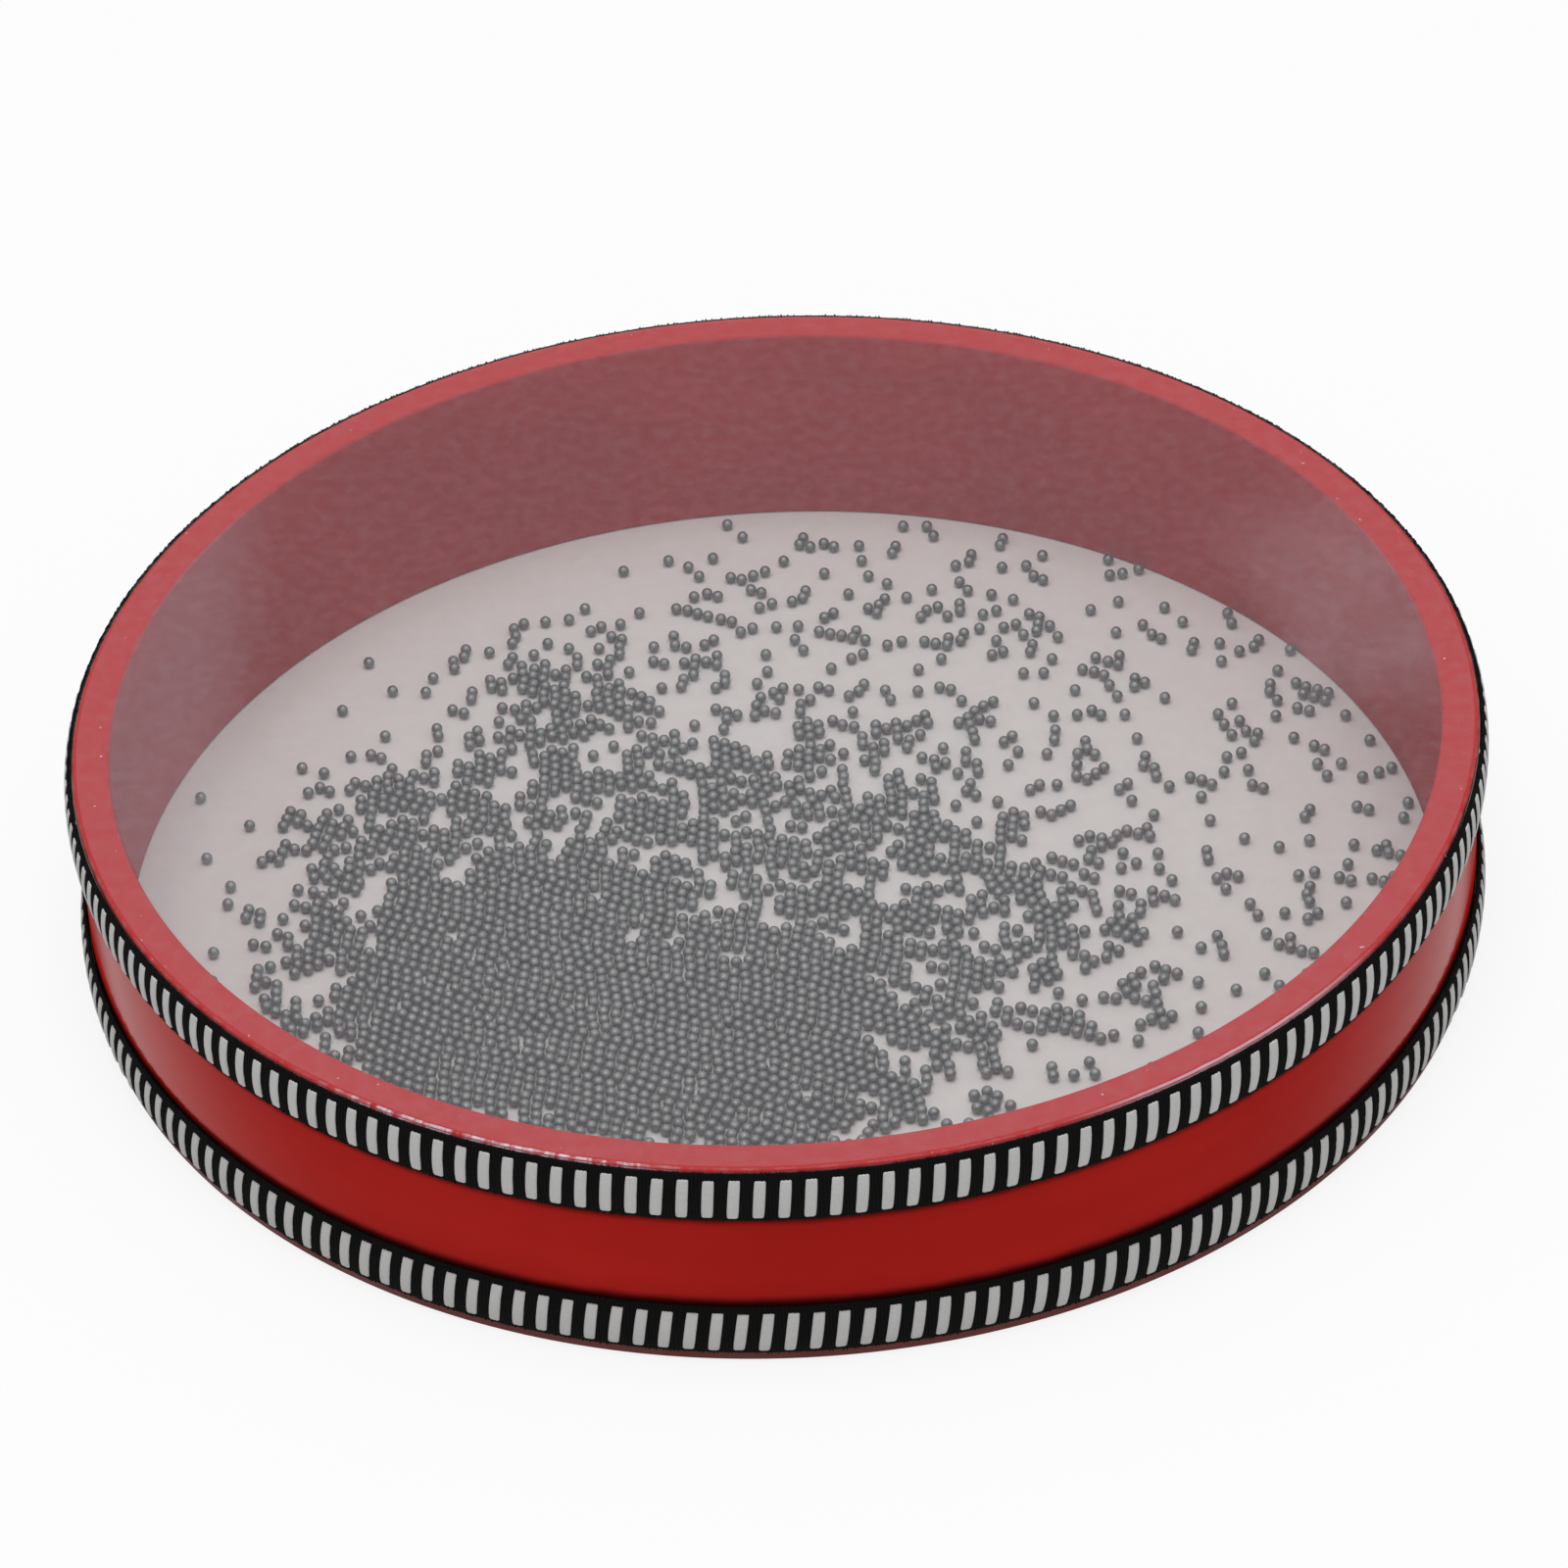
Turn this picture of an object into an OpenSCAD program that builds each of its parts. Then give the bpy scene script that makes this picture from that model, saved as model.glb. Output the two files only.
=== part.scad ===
// Ocean drum: a shallow wooden hoop closed by two film heads, trimmed with two
// woven braids, and holding loose steel shot that rolls over the lower head.
// The origin is the middle of the lower head's underside, and +Z goes up.

/* [Shell] */
// Outside diameter of the bent wooden shell
shell_d = 300; // [280:1:320]
// Depth of the shell from edge to edge
shell_depth = 50; // [42:1:80]
// Thickness of the shell's wall
shell_wall = 8; // [5:0.5:12]
// Width of the small bevel on the shell's edges
edge_bevel = 0.8; // [0.4:0.1:1.5]

/* [Heads] */
// Thickness of the clear film of the upper head
upper_film = 0.25; // [0.2:0.05:0.5]
// Thickness of the white film of the lower head
lower_film = 0.25; // [0.2:0.05:0.5]
// How far the collar of each head comes down the side of the shell
collar_depth = 11; // [8:0.5:12]
// Thickness of the adhesive between a collar and the shell
glue_thickness = 0.15; // [0.1:0.05:0.3]
// How far the adhesive stays back from the edges of the collar
glue_inset = 1.1; // [0.5:0.1:2.5]

/* [Braid] */
// Width of each woven braid
braid_width = 12.6; // [12.2:0.1:16]
// Thickness of the black tape of a braid, in its middle
braid_thickness = 1.5; // [1:0.1:2.2]
// Thickness of the black tape at its two edges
braid_edge = 0.5; // [0.3:0.1:0.9]
// Distance from the top of the drum down to the upper braid
upper_braid_drop = 0.5; // [0.2:0.1:3]
// Distance from the bottom of the drum up to the lower braid
lower_braid_rise = 2.2; // [0.5:0.1:4]
// White bars woven into each braid
bar_count = 186; // [120:1:220]
// Width of each white bar
bar_width = 2.4; // [1.5:0.05:3.2]
// Black border above and below the white bars
bar_border = 1.6; // [0.8:0.1:3]
// How far the white yarn stands out from the tape
bar_rise = 0.25; // [0.2:0.05:0.6]
// Lean of the upper braid's white bars, in degrees
upper_bar_lean = 4.5; // [-12:0.5:12]
// Lean of the lower braid's white bars, in degrees
lower_bar_lean = 7.5; // [-12:0.5:12]

/* [Shot] */
// Diameter of each steel ball
ball_d = 2.6; // [2.4:0.1:4]
// Gap between neighbouring balls
ball_gap = 0.08; // [0.05:0.01:0.3]
// Height at which the balls ride above the lower film
ball_ride = 0.1; // [0.05:0.01:0.3]
// Gap between the outermost balls and the shell
wall_gap = 0.3; // [0.2:0.05:1]
// Number that starts the random layout of the shot
shot_seed = 57; // [1:1:200]

/* [Hidden] */

// Smoothness of the turned pieces, the white bars and the balls
turned_fn = 180;
bar_fn = 90;
ball_fn = 20;

// Radii, from the cavity outwards
shell_r = shell_d / 2;
cavity_r = shell_r - shell_wall;
glue_r = shell_r + glue_thickness;
upper_seat_r = glue_r + upper_film;
lower_seat_r = glue_r + lower_film;

// Levels, from the bottom of the drum upwards
shell_bottom = lower_film;
shell_top = shell_bottom + shell_depth;
drum_top = shell_top + upper_film;
upper_braid_bottom = drum_top - upper_braid_drop - braid_width;
ball_level = lower_film + ball_ride + ball_d / 2;

// Steps in the domed section of the tape, between its two borders
dome_steps = 4;
// How much further than a white bar's own width the stock that it is cut from
// reaches on either side, as a share of the width
bar_stock_share = 0.8;
// How far the leaning slab that cuts a bar out of its stock reaches, through the
// tape and along the bar, as shares of the tape's thickness and width
slab_through_share = 4;
slab_along_share = 2;

// Closest that two balls' middles come
ball_pitch = ball_d + ball_gap;
// Furthest out that a ball's middle lies
shot_r = cavity_r - wall_gap - ball_d / 2;
// The rim shot runs round outside this circle, and the pooled shot inside it
rim_line_share = 0.84;
rim_line = cavity_r * rim_line_share;

// The balls lie as if they had run down to one side and settled there, row upon
// row, on a rough first row. This is the turn of the rows
row_turn = 35;
// Most that the first row's gaps are wider than the pitch, and most that one of
// its balls lies above another, as shares of the pitch
first_gap_share = 0.2;
first_rise_share = 0.9;
// The places tried for the next ball in a row: the nearest, the furthest, and
// the step between two of them, as shares of the pitch
nearest_try_share = 0.5;
furthest_try_share = 1.45;
try_step_share = 0.05;
// How much lower a place has to lie than another one that is a pitch nearer, as
// a share of the pitch
nearness_share = 0.4;
// Share of the balls that a jolt leaves out of line, and the strongest jolt as a
// share of the pitch
jolt_share = 0.3;
jolt_size_share = 0.4;
// How far the rows run on beyond the cavity, and the length of the stretches that
// they are cut into, in balls
spare_balls = 3;
stretch_balls = 8;
// A level far below every row
pit_level = -shell_d;

// Where the shot is heaped solid, and the broken fringe that reaches out from
// there: ridges, each as [x, y, other end's x, y, radius], in shares of the
// cavity's radius
heap_ridge_shares = [
  [-0.44, -0.22, -0.08, -0.38, 0.27],
  [-0.50, -0.04, -0.30, -0.02, 0.17],
];
fringe_ridge_shares = [
  [-0.46, -0.16, -0.06, -0.34, 0.34],
  [-0.52, 0.12, -0.10, 0.14, 0.23],
  [-0.37, 0.28, -0.34, 0.50, 0.11],
  [-0.04, 0.02, 0.20, 0.02, 0.19],
  [0.08, -0.30, 0.22, -0.26, 0.14],
  [-0.12, 0.24, 0.04, 0.28, 0.12],
  [0.38, -0.08, 0.40, -0.14, 0.09],
];
// Where loose balls lie: patches, each as [x, y, half length, half width, share
// of the places filled], with lengths in shares of the cavity's radius
loose_patch_shares = [
  [-0.24, -0.12, 0.62, 0.54, 0.35],
  [-0.35, 0.45, 0.28, 0.34, 0.26],
  [0.12, 0.28, 0.52, 0.36, 0.28],
  [0.42, -0.16, 0.32, 0.42, 0.28],
  [0.20, 0.58, 0.60, 0.46, 0.17],
  [0.62, 0.20, 0.58, 0.72, 0.16],
  [0.10, -0.72, 0.56, 0.28, 0.20],
];
// Share of the places filled outside every patch
stray_ball_share = 0.012;
// Share of a patch's radius over which it thins out
patch_edge_share = 0.4;

// Clumps and bare spots come and go with crossing waves, each as [direction in
// degrees, length as a share of the clumps' spacing, start in degrees]
clump_wave_shares = [
  [8, 1.00, 0],
  [31, 0.62, 70],
  [52, 1.31, 200],
  [73, 0.83, 310],
  [97, 0.55, 130],
  [118, 1.12, 20],
  [139, 0.71, 250],
  [163, 0.93, 100],
  [174, 0.50, 330],
];
// Spacing of the clumps in balls
clump_spacing_balls = 7;
// Height of the waves below which the balls lie in clumps: at the heap's edge, at
// the fringe's edge, and at most in the fringe
heap_level_share = 0.12;
fringe_level_share = -0.02;
most_fringe_level_share = 0.18;
// Depth in balls over which that height grows by the waves' full height, in the
// heap and in the fringe
heap_rise_balls = 7.5;
fringe_rise_balls = 10.8;
// How sharply a clump ends
clump_edge_share = 2.2;
// Share of the places filled where the balls lie closest
heap_fill_share = 0.996;
// Where the nodes of each kind of shot meet, from left to right
heap_split_shares = [-0.46, -0.28, -0.10];
fringe_split_shares = [-0.28, 0.10];
loose_split_share = 0.26;
// Share of the loose balls that hop
hop_share = 0.05;

// Colours
red_lacquer = [0.66, 0.09, 0.06];
clear_film = [0.86, 0.86, 0.88, 0.3];
white_film = [0.84, 0.83, 0.82];
clear_glue = [0.80, 0.76, 0.62];
black_yarn = [0.07, 0.07, 0.07];
white_yarn = [0.80, 0.80, 0.79];
shot_steel = [0.42, 0.43, 0.45];

// Rules for the turned pieces, each an outline of [radius, height] points

// A wall with plain corners
function wall_outline(inside, outside, bottom, top) =
  [[inside, bottom], [outside, bottom], [outside, top], [inside, top]];

// A wall with bevelled corners
function bevelled_outline(inside, outside, bottom, top, bevel) = [
  [inside + bevel, bottom],
  [outside - bevel, bottom],
  [outside, bottom + bevel],
  [outside, top - bevel],
  [outside - bevel, top],
  [inside + bevel, top],
  [inside, top - bevel],
  [inside, bottom + bevel],
];

// A head: a flat film that folds over the shell's edge into a collar. The edge
// is the shell's, and side is 1 for the upper head and -1 for the lower one
function head_outline(edge, film, side) = [
  [0, edge],
  [glue_r - edge_bevel, edge],
  [glue_r, edge - side * edge_bevel],
  [glue_r, edge - side * collar_depth],
  [glue_r + film, edge - side * collar_depth],
  [glue_r + film, edge + side * (film - edge_bevel)],
  [glue_r + film - edge_bevel, edge + side * film],
  [0, edge + side * film],
];

module turned(outline) {
  rotate_extrude($fn = turned_fn)
    polygon(outline);
}

// The adhesive under a collar, between its low and high levels
module glue_band(low, high) {
  color(clear_glue)
    turned(wall_outline(shell_r, glue_r, low + glue_inset, high - glue_inset));
}

// The domed section of a braid between its borders, from its low end up, at some
// height over the tape
function dome_outline(seat, bottom, over) = [
  for (k = [0:dome_steps])
    let (
      half = braid_width / 2,
      up = (half - bar_border) * (2 * k / dome_steps - 1),
      dome = (braid_thickness - braid_edge) * (1 - up * up / (half * half))
    )
    [seat + braid_edge + dome + over, bottom + half + up]
];

// The black tape of a braid
module braid_tape(seat, bottom) {
  top = bottom + braid_width;
  color(black_yarn)
    turned([
      [seat, top],
      [seat, bottom],
      [seat + braid_edge, bottom],
      each dome_outline(seat, bottom, 0),
      [seat + braid_edge, top],
    ]);
}

// The white bars of a braid, on the domed face of its tape. Each is cut from wider
// stock by a leaning slab
module braid_bars(seat, bottom, lean) {
  outside = seat + braid_thickness + bar_rise;
  stock = bar_width * (1 + 2 * bar_stock_share);
  sweep = stock / (2 * PI * outside) * 360;
  under = dome_outline(seat, bottom, 0);
  slab = [slab_through_share * braid_thickness, bar_width, slab_along_share * braid_width];
  color(white_yarn)
    for (i = [0:bar_count - 1])
      rotate([0, 0, i * 360 / bar_count])
        intersection() {
          rotate([0, 0, -sweep / 2])
            rotate_extrude(angle = sweep, $fn = bar_fn)
              polygon([
                each dome_outline(seat, bottom, bar_rise),
                for (k = [dome_steps:-1:0]) under[k],
              ]);
          translate([outside, 0, bottom + braid_width / 2])
            rotate([-lean, 0, 0])
              cube(slab, center = true);
        }
}

// Rules for the layout of the shot

// How deep a point lies inside a set of ridges, and below zero outside them. It
// never changes faster than the point moves
function ridge_depth(point, ridges) = max([
  for (ridge = ridges)
    let (
      start = cavity_r * [ridge[0], ridge[1]],
      run = cavity_r * [ridge[2], ridge[3]] - start,
      along = max(0, min(1, (point - start) * run / (run * run)))
    )
    cavity_r * ridge[4] - norm(point - start - along * run)
]);

// Share of the places filled at a point among the loose balls
function loose_share(point) = max([
  stray_ball_share,
  for (patch = loose_patch_shares)
    let (
      along = (point.x / cavity_r - patch[0]) / patch[2],
      across = (point.y / cavity_r - patch[1]) / patch[3],
      inside = (1 - norm([along, across])) / patch_edge_share
    )
    patch[4] * max(0, min(1, inside))
]);

// Height of the crossing waves at a point, from -1 to 1
function clump_wave(point) =
  let (spacing = clump_spacing_balls * ball_pitch)
  [
    for (wave = clump_wave_shares)
      sin(360 * (point * [cos(wave[0]), sin(wave[0])]) / (spacing * wave[1]) + wave[2])
  ] * [for (wave = clump_wave_shares) 1 / len(clump_wave_shares)];

// How deep a point lies inside the heap, and inside the heap and its fringe
function heap_depth(point) = ridge_depth(point, heap_ridge_shares);
function packed_depth(point) =
  ridge_depth(point, concat(heap_ridge_shares, fringe_ridge_shares));

// Height of the waves below which the balls lie in clumps
function clump_level(point) = max(
  heap_level_share + heap_depth(point) / (heap_rise_balls * ball_pitch),
  min(
    most_fringe_level_share,
    fringe_level_share + packed_depth(point) / (fringe_rise_balls * ball_pitch)
  )
);

// Chance that a place holds a ball
function ball_chance(point) =
  let (
    wave = clump_wave(point),
    clump = (1 + clump_edge_share * (clump_level(point) - wave)) / 2
  )
  max(heap_fill_share * min(1, clump), loose_share(point) * (1 - wave));

// Level at which a ball comes to rest on the balls near it, at a place along its
// row
function rest_level(along, near) = max([
  pit_level,
  for (ball = near)
    let (aside = along - ball.x)
    if (abs(aside) < ball_pitch)
      ball.y + sqrt(ball_pitch * ball_pitch - aside * aside)
]);

// The ball that settles next to the last one in a row: at the lowest of the
// places tried, apart from its jolts
function next_ball(last, below, is_jolted, seed) =
  let (
    middle_try = (nearest_try_share + furthest_try_share) / 2 * ball_pitch,
    tries_reach = (furthest_try_share - nearest_try_share) / 2 * ball_pitch + ball_pitch,
    near = [
      last,
      for (ball = below)
        if (abs(ball.x - last.x - middle_try) < tries_reach)
          ball
    ],
    steps = [nearest_try_share:try_step_share:furthest_try_share],
    rests = [
      for (step = steps)
        let (along = last.x + step * ball_pitch)
        [along, rest_level(along, near)]
    ],
    jolts = is_jolted ? rands(0, jolt_size_share * ball_pitch, len(rests), seed) : undef,
    scores = [
      for (k = [0:len(rests) - 1])
        rests[k].y + nearness_share * rests[k].x + (is_jolted ? jolts[k] : 0)
    ],
    least = min(scores)
  )
  [for (k = [0:len(rests) - 1]) if (scores[k] == least) rests[k]][0];

// A row of balls at rest on the rows below it, from one side to the other. The
// rows below are cut into stretches first, to find the balls near a place sooner
function next_row(below, half, seed) =
  let (
    most = ceil(2 * half / (nearest_try_share * ball_pitch)) + 2,
    draws = rands(0, 1, most, seed),
    before = [-half - draws[0] * ball_pitch, pit_level],
    stretch = stretch_balls * ball_pitch,
    stretches = [
      for (start = [-half - stretch:stretch:half])
        [
          for (ball = below)
            if (ball.x > start - ball_pitch && ball.x < start + stretch + spare_balls * ball_pitch)
              ball
        ]
    ]
  )
  [
    for (
      state = [1, next_ball(before, stretches[0], false, seed)];
      state[1].x < half;
      state = [
        state[0] + 1,
        next_ball(
          state[1],
          stretches[floor((state[1].x + half) / stretch) + 1],
          draws[state[0]] < jolt_share,
          seed * most + state[0]
        )
      ]
    )
      state[1]
  ];

// The rough first row
function first_row(half) =
  let (
    count = ceil(2 * half / ball_pitch) + 2,
    gaps = rands(1, 1 + first_gap_share, count, shot_seed),
    rises = rands(0, first_rise_share, count, shot_seed + 1)
  )
  [
    for (
      state = [0, -half];
      state[1] < half;
      state = [state[0] + 1, state[1] + gaps[state[0]] * ball_pitch]
    )
      [state[1], -half + rises[state[0]] * ball_pitch]
  ];

// All the balls at rest in their rows, before the layer is turned and thinned.
// The first row has used up the first two random seeds
function settled_balls() =
  let (half = shot_r + spare_balls * ball_pitch)
  [
    for (
      state = [2, first_row(half), [], []];
      state[1][floor(len(state[1]) / 2)].y < half;
      state = [
        state[0] + 1,
        next_row(concat(state[1], state[2], state[3]), half, shot_seed + state[0]),
        state[1],
        state[2]
      ]
    )
      each state[1]
  ];

// May a ball lie here: clear of the shell and of the line between the groups?
function clear_place(point) =
  norm(point) <= shot_r && abs(norm(point) - rim_line) >= ball_pitch / 2;

// The shot: each ball as [x, y, a draw from 0 to 1 that decides whether it hops]
function shot() =
  let (
    places = [
      for (ball = settled_balls())
        let (
          place = [
            ball.x * cos(row_turn) - ball.y * sin(row_turn),
            ball.x * sin(row_turn) + ball.y * cos(row_turn)
          ]
        )
        if (clear_place(place))
          place
    ],
    draws = rands(0, 1, 2 * len(places), shot_seed)
  )
  [
    for (k = [0:len(places) - 1])
      let (place = places[k])
      if (draws[2 * k] < ball_chance(place))
        [place.x, place.y, draws[2 * k + 1]]
  ];

// Where a ball belongs
function is_rim(ball) = norm([ball.x, ball.y]) > rim_line;
function is_heaped(ball) = heap_depth([ball.x, ball.y]) > 0;
function is_packed(ball) = packed_depth([ball.x, ball.y]) > 0;
function is_hopping(ball) = ball[2] < hop_share && !is_packed(ball);
function is_between(ball, low_share, high_share) =
  ball.x >= cavity_r * low_share && ball.x < cavity_r * high_share;

// The balls of the heap, of its fringe, and of the loose shot, all inside the rim
// shot's circle, between two places along X
function heap_between(low_share, high_share) = [
  for (ball = shot())
    if (!is_rim(ball) && is_between(ball, low_share, high_share) && is_heaped(ball))
      ball
];
function fringe_between(low_share, high_share) = [
  for (ball = shot())
    if (!is_rim(ball) && is_between(ball, low_share, high_share))
      if (is_packed(ball) && !is_heaped(ball))
        ball
];
function loose_between(low_share, high_share) = [
  for (ball = shot())
    if (!is_rim(ball) && is_between(ball, low_share, high_share))
      if (!is_packed(ball) && !is_hopping(ball))
        ball
];

module balls(places) {
  color(shot_steel)
    for (ball = places)
      translate([ball.x, ball.y, ball_level])
        sphere(d = ball_d, $fn = ball_fn);
}

// The pieces

module shell() {
  color(red_lacquer)
    turned(bevelled_outline(cavity_r, shell_r, shell_bottom, shell_top, edge_bevel));
}

module upper_glue_band() {
  glue_band(shell_top - collar_depth, shell_top - edge_bevel);
}

module lower_glue_band() {
  glue_band(shell_bottom + edge_bevel, shell_bottom + collar_depth);
}

module upper_head() {
  color(clear_film)
    turned(head_outline(shell_top, upper_film, 1));
}

module lower_head() {
  color(white_film)
    turned(head_outline(shell_bottom, lower_film, -1));
}

module upper_braid() {
  braid_tape(upper_seat_r, upper_braid_bottom);
}

module lower_braid() {
  braid_tape(lower_seat_r, lower_braid_rise);
}

module upper_braid_bars() {
  braid_bars(upper_seat_r, upper_braid_bottom, upper_bar_lean);
}

module lower_braid_bars() {
  braid_bars(lower_seat_r, lower_braid_rise, lower_bar_lean);
}

module heap_shot_far_left() {
  balls(heap_between(-1, heap_split_shares[0]));
}

module heap_shot_left() {
  balls(heap_between(heap_split_shares[0], heap_split_shares[1]));
}

module heap_shot_right() {
  balls(heap_between(heap_split_shares[1], heap_split_shares[2]));
}

module heap_shot_far_right() {
  balls(heap_between(heap_split_shares[2], 1));
}

module fringe_shot_left() {
  balls(fringe_between(-1, fringe_split_shares[0]));
}

module fringe_shot_middle() {
  balls(fringe_between(fringe_split_shares[0], fringe_split_shares[1]));
}

module fringe_shot_right() {
  balls(fringe_between(fringe_split_shares[1], 1));
}

module loose_shot_left() {
  balls(loose_between(-1, loose_split_share));
}

module loose_shot_right() {
  balls(loose_between(loose_split_share, 1));
}

module rim_shot() {
  balls([for (ball = shot()) if (is_rim(ball) && !is_hopping(ball)) ball]);
}

module hopping_shot() {
  balls([for (ball = shot()) if (!is_rim(ball) && is_hopping(ball)) ball]);
}

module hopping_rim_shot() {
  balls([for (ball = shot()) if (is_rim(ball) && is_hopping(ball)) ball]);
}

shell();
upper_glue_band();
lower_glue_band();
upper_head();
lower_head();
upper_braid();
lower_braid();
upper_braid_bars();
lower_braid_bars();
heap_shot_far_left();
heap_shot_left();
heap_shot_right();
heap_shot_far_right();
fringe_shot_left();
fringe_shot_middle();
fringe_shot_right();
loose_shot_left();
loose_shot_right();
rim_shot();
hopping_shot();
hopping_rim_shot();
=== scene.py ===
# Dresses the packed ocean drum: a lacquered wooden shell, a clear and a white
# film head, two woven braids and loose steel shot, on a plain pale floor.
import math
from itertools import product

import bpy
import numpy as np
from bpy.props import (
    FloatProperty,
    FloatVectorProperty,
    IntProperty,
    PointerProperty,
)
from bpy.types import Operator, Panel, PropertyGroup
from mathutils import Matrix, Vector


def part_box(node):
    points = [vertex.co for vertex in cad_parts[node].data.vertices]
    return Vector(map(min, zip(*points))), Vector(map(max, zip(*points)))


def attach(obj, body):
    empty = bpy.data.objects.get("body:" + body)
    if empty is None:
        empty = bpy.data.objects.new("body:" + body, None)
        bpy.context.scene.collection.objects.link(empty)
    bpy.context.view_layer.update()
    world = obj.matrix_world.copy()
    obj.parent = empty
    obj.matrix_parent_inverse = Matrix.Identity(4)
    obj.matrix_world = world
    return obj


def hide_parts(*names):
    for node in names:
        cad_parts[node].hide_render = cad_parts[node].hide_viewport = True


bl_info = {
    "name": "Ocean Drum",
    "version": (1, 0, 0),
    "blender": (4, 5, 0),
    "location": "3D View > Sidebar > Drum",
    "description": "Builds the looks of an ocean drum around its packed parts",
    "category": "Object",
}

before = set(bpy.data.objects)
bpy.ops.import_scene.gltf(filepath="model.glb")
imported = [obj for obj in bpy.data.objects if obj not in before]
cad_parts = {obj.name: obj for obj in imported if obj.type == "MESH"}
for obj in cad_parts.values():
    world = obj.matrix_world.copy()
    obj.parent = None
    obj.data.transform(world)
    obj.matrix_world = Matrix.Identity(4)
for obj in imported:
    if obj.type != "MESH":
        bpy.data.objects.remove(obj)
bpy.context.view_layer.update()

MM = 0.001

DRUM = "drum"
# The pieces that show the shot, each with its body and the CAD nodes that it stands for
SHOT_PIECES = {
    "heap_balls": (
        "pooled_balls",
        (
            "heap_shot_far_left",
            "heap_shot_left",
            "heap_shot_right",
            "heap_shot_far_right",
        ),
    ),
    "fringe_balls": (
        "pooled_balls",
        ("fringe_shot_left", "fringe_shot_middle", "fringe_shot_right"),
    ),
    "loose_balls": ("pooled_balls", ("loose_shot_left", "loose_shot_right")),
    "rim_track_balls": ("rim_balls", ("rim_shot",)),
    "bouncing_balls": ("hopping_balls", ("hopping_shot",)),
    "bouncing_rim_balls": ("hopping_rim_balls", ("hopping_rim_shot",)),
}


def node_span(node):
    """A CAD node's reach: its outer radius, its lowest level and its highest."""
    low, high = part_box(node)
    return high.x, low.z, high.z


SHELL_R, SHELL_LOW, SHELL_HIGH = node_span("shell")
FILM_R, FILM_LOW, FILM_HIGH = node_span("upper_head")
UPPER_TAPE_R, UPPER_TAPE_LOW, UPPER_TAPE_HIGH = node_span("upper_braid")
LOWER_TAPE_R, LOWER_TAPE_LOW, LOWER_TAPE_HIGH = node_span("lower_braid")
BARS_R = node_span("upper_braid_bars")[0]


# Sizes and colours


def colour_prop(name, description, default):
    """A colour that a user would change."""
    return FloatVectorProperty(
        name=name, description=description, default=default, subtype="COLOR", size=3, min=0, max=1
    )


def length_prop(name, description, default):
    """A length that a user would change, in metres."""
    return FloatProperty(
        name=name, description=description, default=default, min=0, unit="LENGTH", precision=5
    )


def angle_prop(name, description, default):
    """An angle that a user would change, in radians."""
    return FloatProperty(name=name, description=description, default=default, subtype="ANGLE")


def share_prop(name, description, default):
    """A share from 0 to 1 that a user would change."""
    return FloatProperty(
        name=name, description=description, default=default, min=0, max=1, subtype="FACTOR"
    )


class ShellSettings(PropertyGroup):
    """Sizes and colours of the wooden shell."""

    wall: length_prop("Wall", "Thickness of the bent wooden wall", 8 * MM)
    bevel: length_prop("Edge bevel", "Width of the softened edges", 0.8 * MM)
    columns: IntProperty(name="Columns", description="Faces round the shell", default=256, min=24)
    red: colour_prop("Red", "Colour of the lacquer", (0.42, 0.010, 0.006))
    deep_red: colour_prop("Deep red", "Colour of the thicker lacquer", (0.37, 0.007, 0.004))
    edge_red: colour_prop("Edge red", "Colour of the upper edge", (0.46, 0.018, 0.018))
    # Colour of the painted shade along the braids: under the upper one and above the lower one
    painted_shade: colour_prop("Painted shade", "Colour of the dark line along a braid", (0.010, 0.003, 0.003))


class FilmSettings(PropertyGroup):
    """Sizes and colours of the two film heads."""

    lift: length_prop("Lift", "Air between the clear film and the shell's edge", 0.03 * MM)
    crease: length_prop("Crease", "Height of the creases where the film folds", 0.16 * MM)
    columns: IntProperty(name="Columns", description="Faces round a head", default=720, min=24)
    haze: share_prop("Haze", "How much of the view each face of the clear film veils", 0.050)
    # The painted highlight on the fold's crease: all round, at the front left and at the front
    # right
    fold_glint: share_prop("Fold glint", "How white the clear film's fold is all round", 0.05)
    left_shine: share_prop("Left shine", "How white the fold is at the front left", 0.58)
    right_shine: share_prop("Right shine", "How white the fold is at the front right", 0.34)
    specks: share_prop("Specks", "How white the specks near the rim are", 0.45)
    # Extra veil near the rim, at the left and at the right
    left_rim_veil: share_prop("Left rim veil", "Extra veil near the rim at the left", 0.034)
    right_rim_veil: share_prop("Right rim veil", "Extra veil near the rim at the right", 0.027)
    streaks: share_prop("Streaks", "How much streaks add to the right smear", 0.014)
    clear: colour_prop("Clear film", "Colour of the clear film's haze", (0.87, 0.86, 0.95))
    white: colour_prop("White film", "Colour of the white film", (0.63, 0.60, 0.58))
    collar: colour_prop("Collar", "Colour of the white film's folded edge", (0.20, 0.050, 0.047))


class BraidSettings(PropertyGroup):
    """Sizes and colours of the woven braids."""

    bars: IntProperty(name="Bars", description="White bars round a braid", default=186, min=12)
    ribs: IntProperty(name="Ribs", description="Black ribs round a braid", default=1302, min=12)
    thickness: length_prop("Thickness", "Thickness of the tape in its middle", 1.5 * MM)
    edge: length_prop("Edge", "Thickness of the tape at its edges", 0.5 * MM)
    bar_width: length_prop("Bar width", "Width of a white bar", 2.4 * MM)
    rib_rise: length_prop("Rib rise", "How far a black rib stands out", 0.16 * MM)
    upper_lean: angle_prop("Upper lean", "Lean of the upper white bars", math.radians(4.5))
    lower_lean: angle_prop("Lower lean", "Lean of the lower white bars", math.radians(7.5))
    black: colour_prop("Black yarn", "Colour of the black yarn", (0.007, 0.0075, 0.007))
    white: colour_prop("White yarn", "Colour of the white yarn", (0.62, 0.62, 0.61))


class ShotSettings(PropertyGroup):
    """Looks of the steel shot."""

    steel: colour_prop("Steel", "Colour of the bare steel", (0.179, 0.191, 0.182))
    dark_steel: colour_prop("Dark steel", "Colour of the dullest balls", (0.150, 0.161, 0.153))


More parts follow.
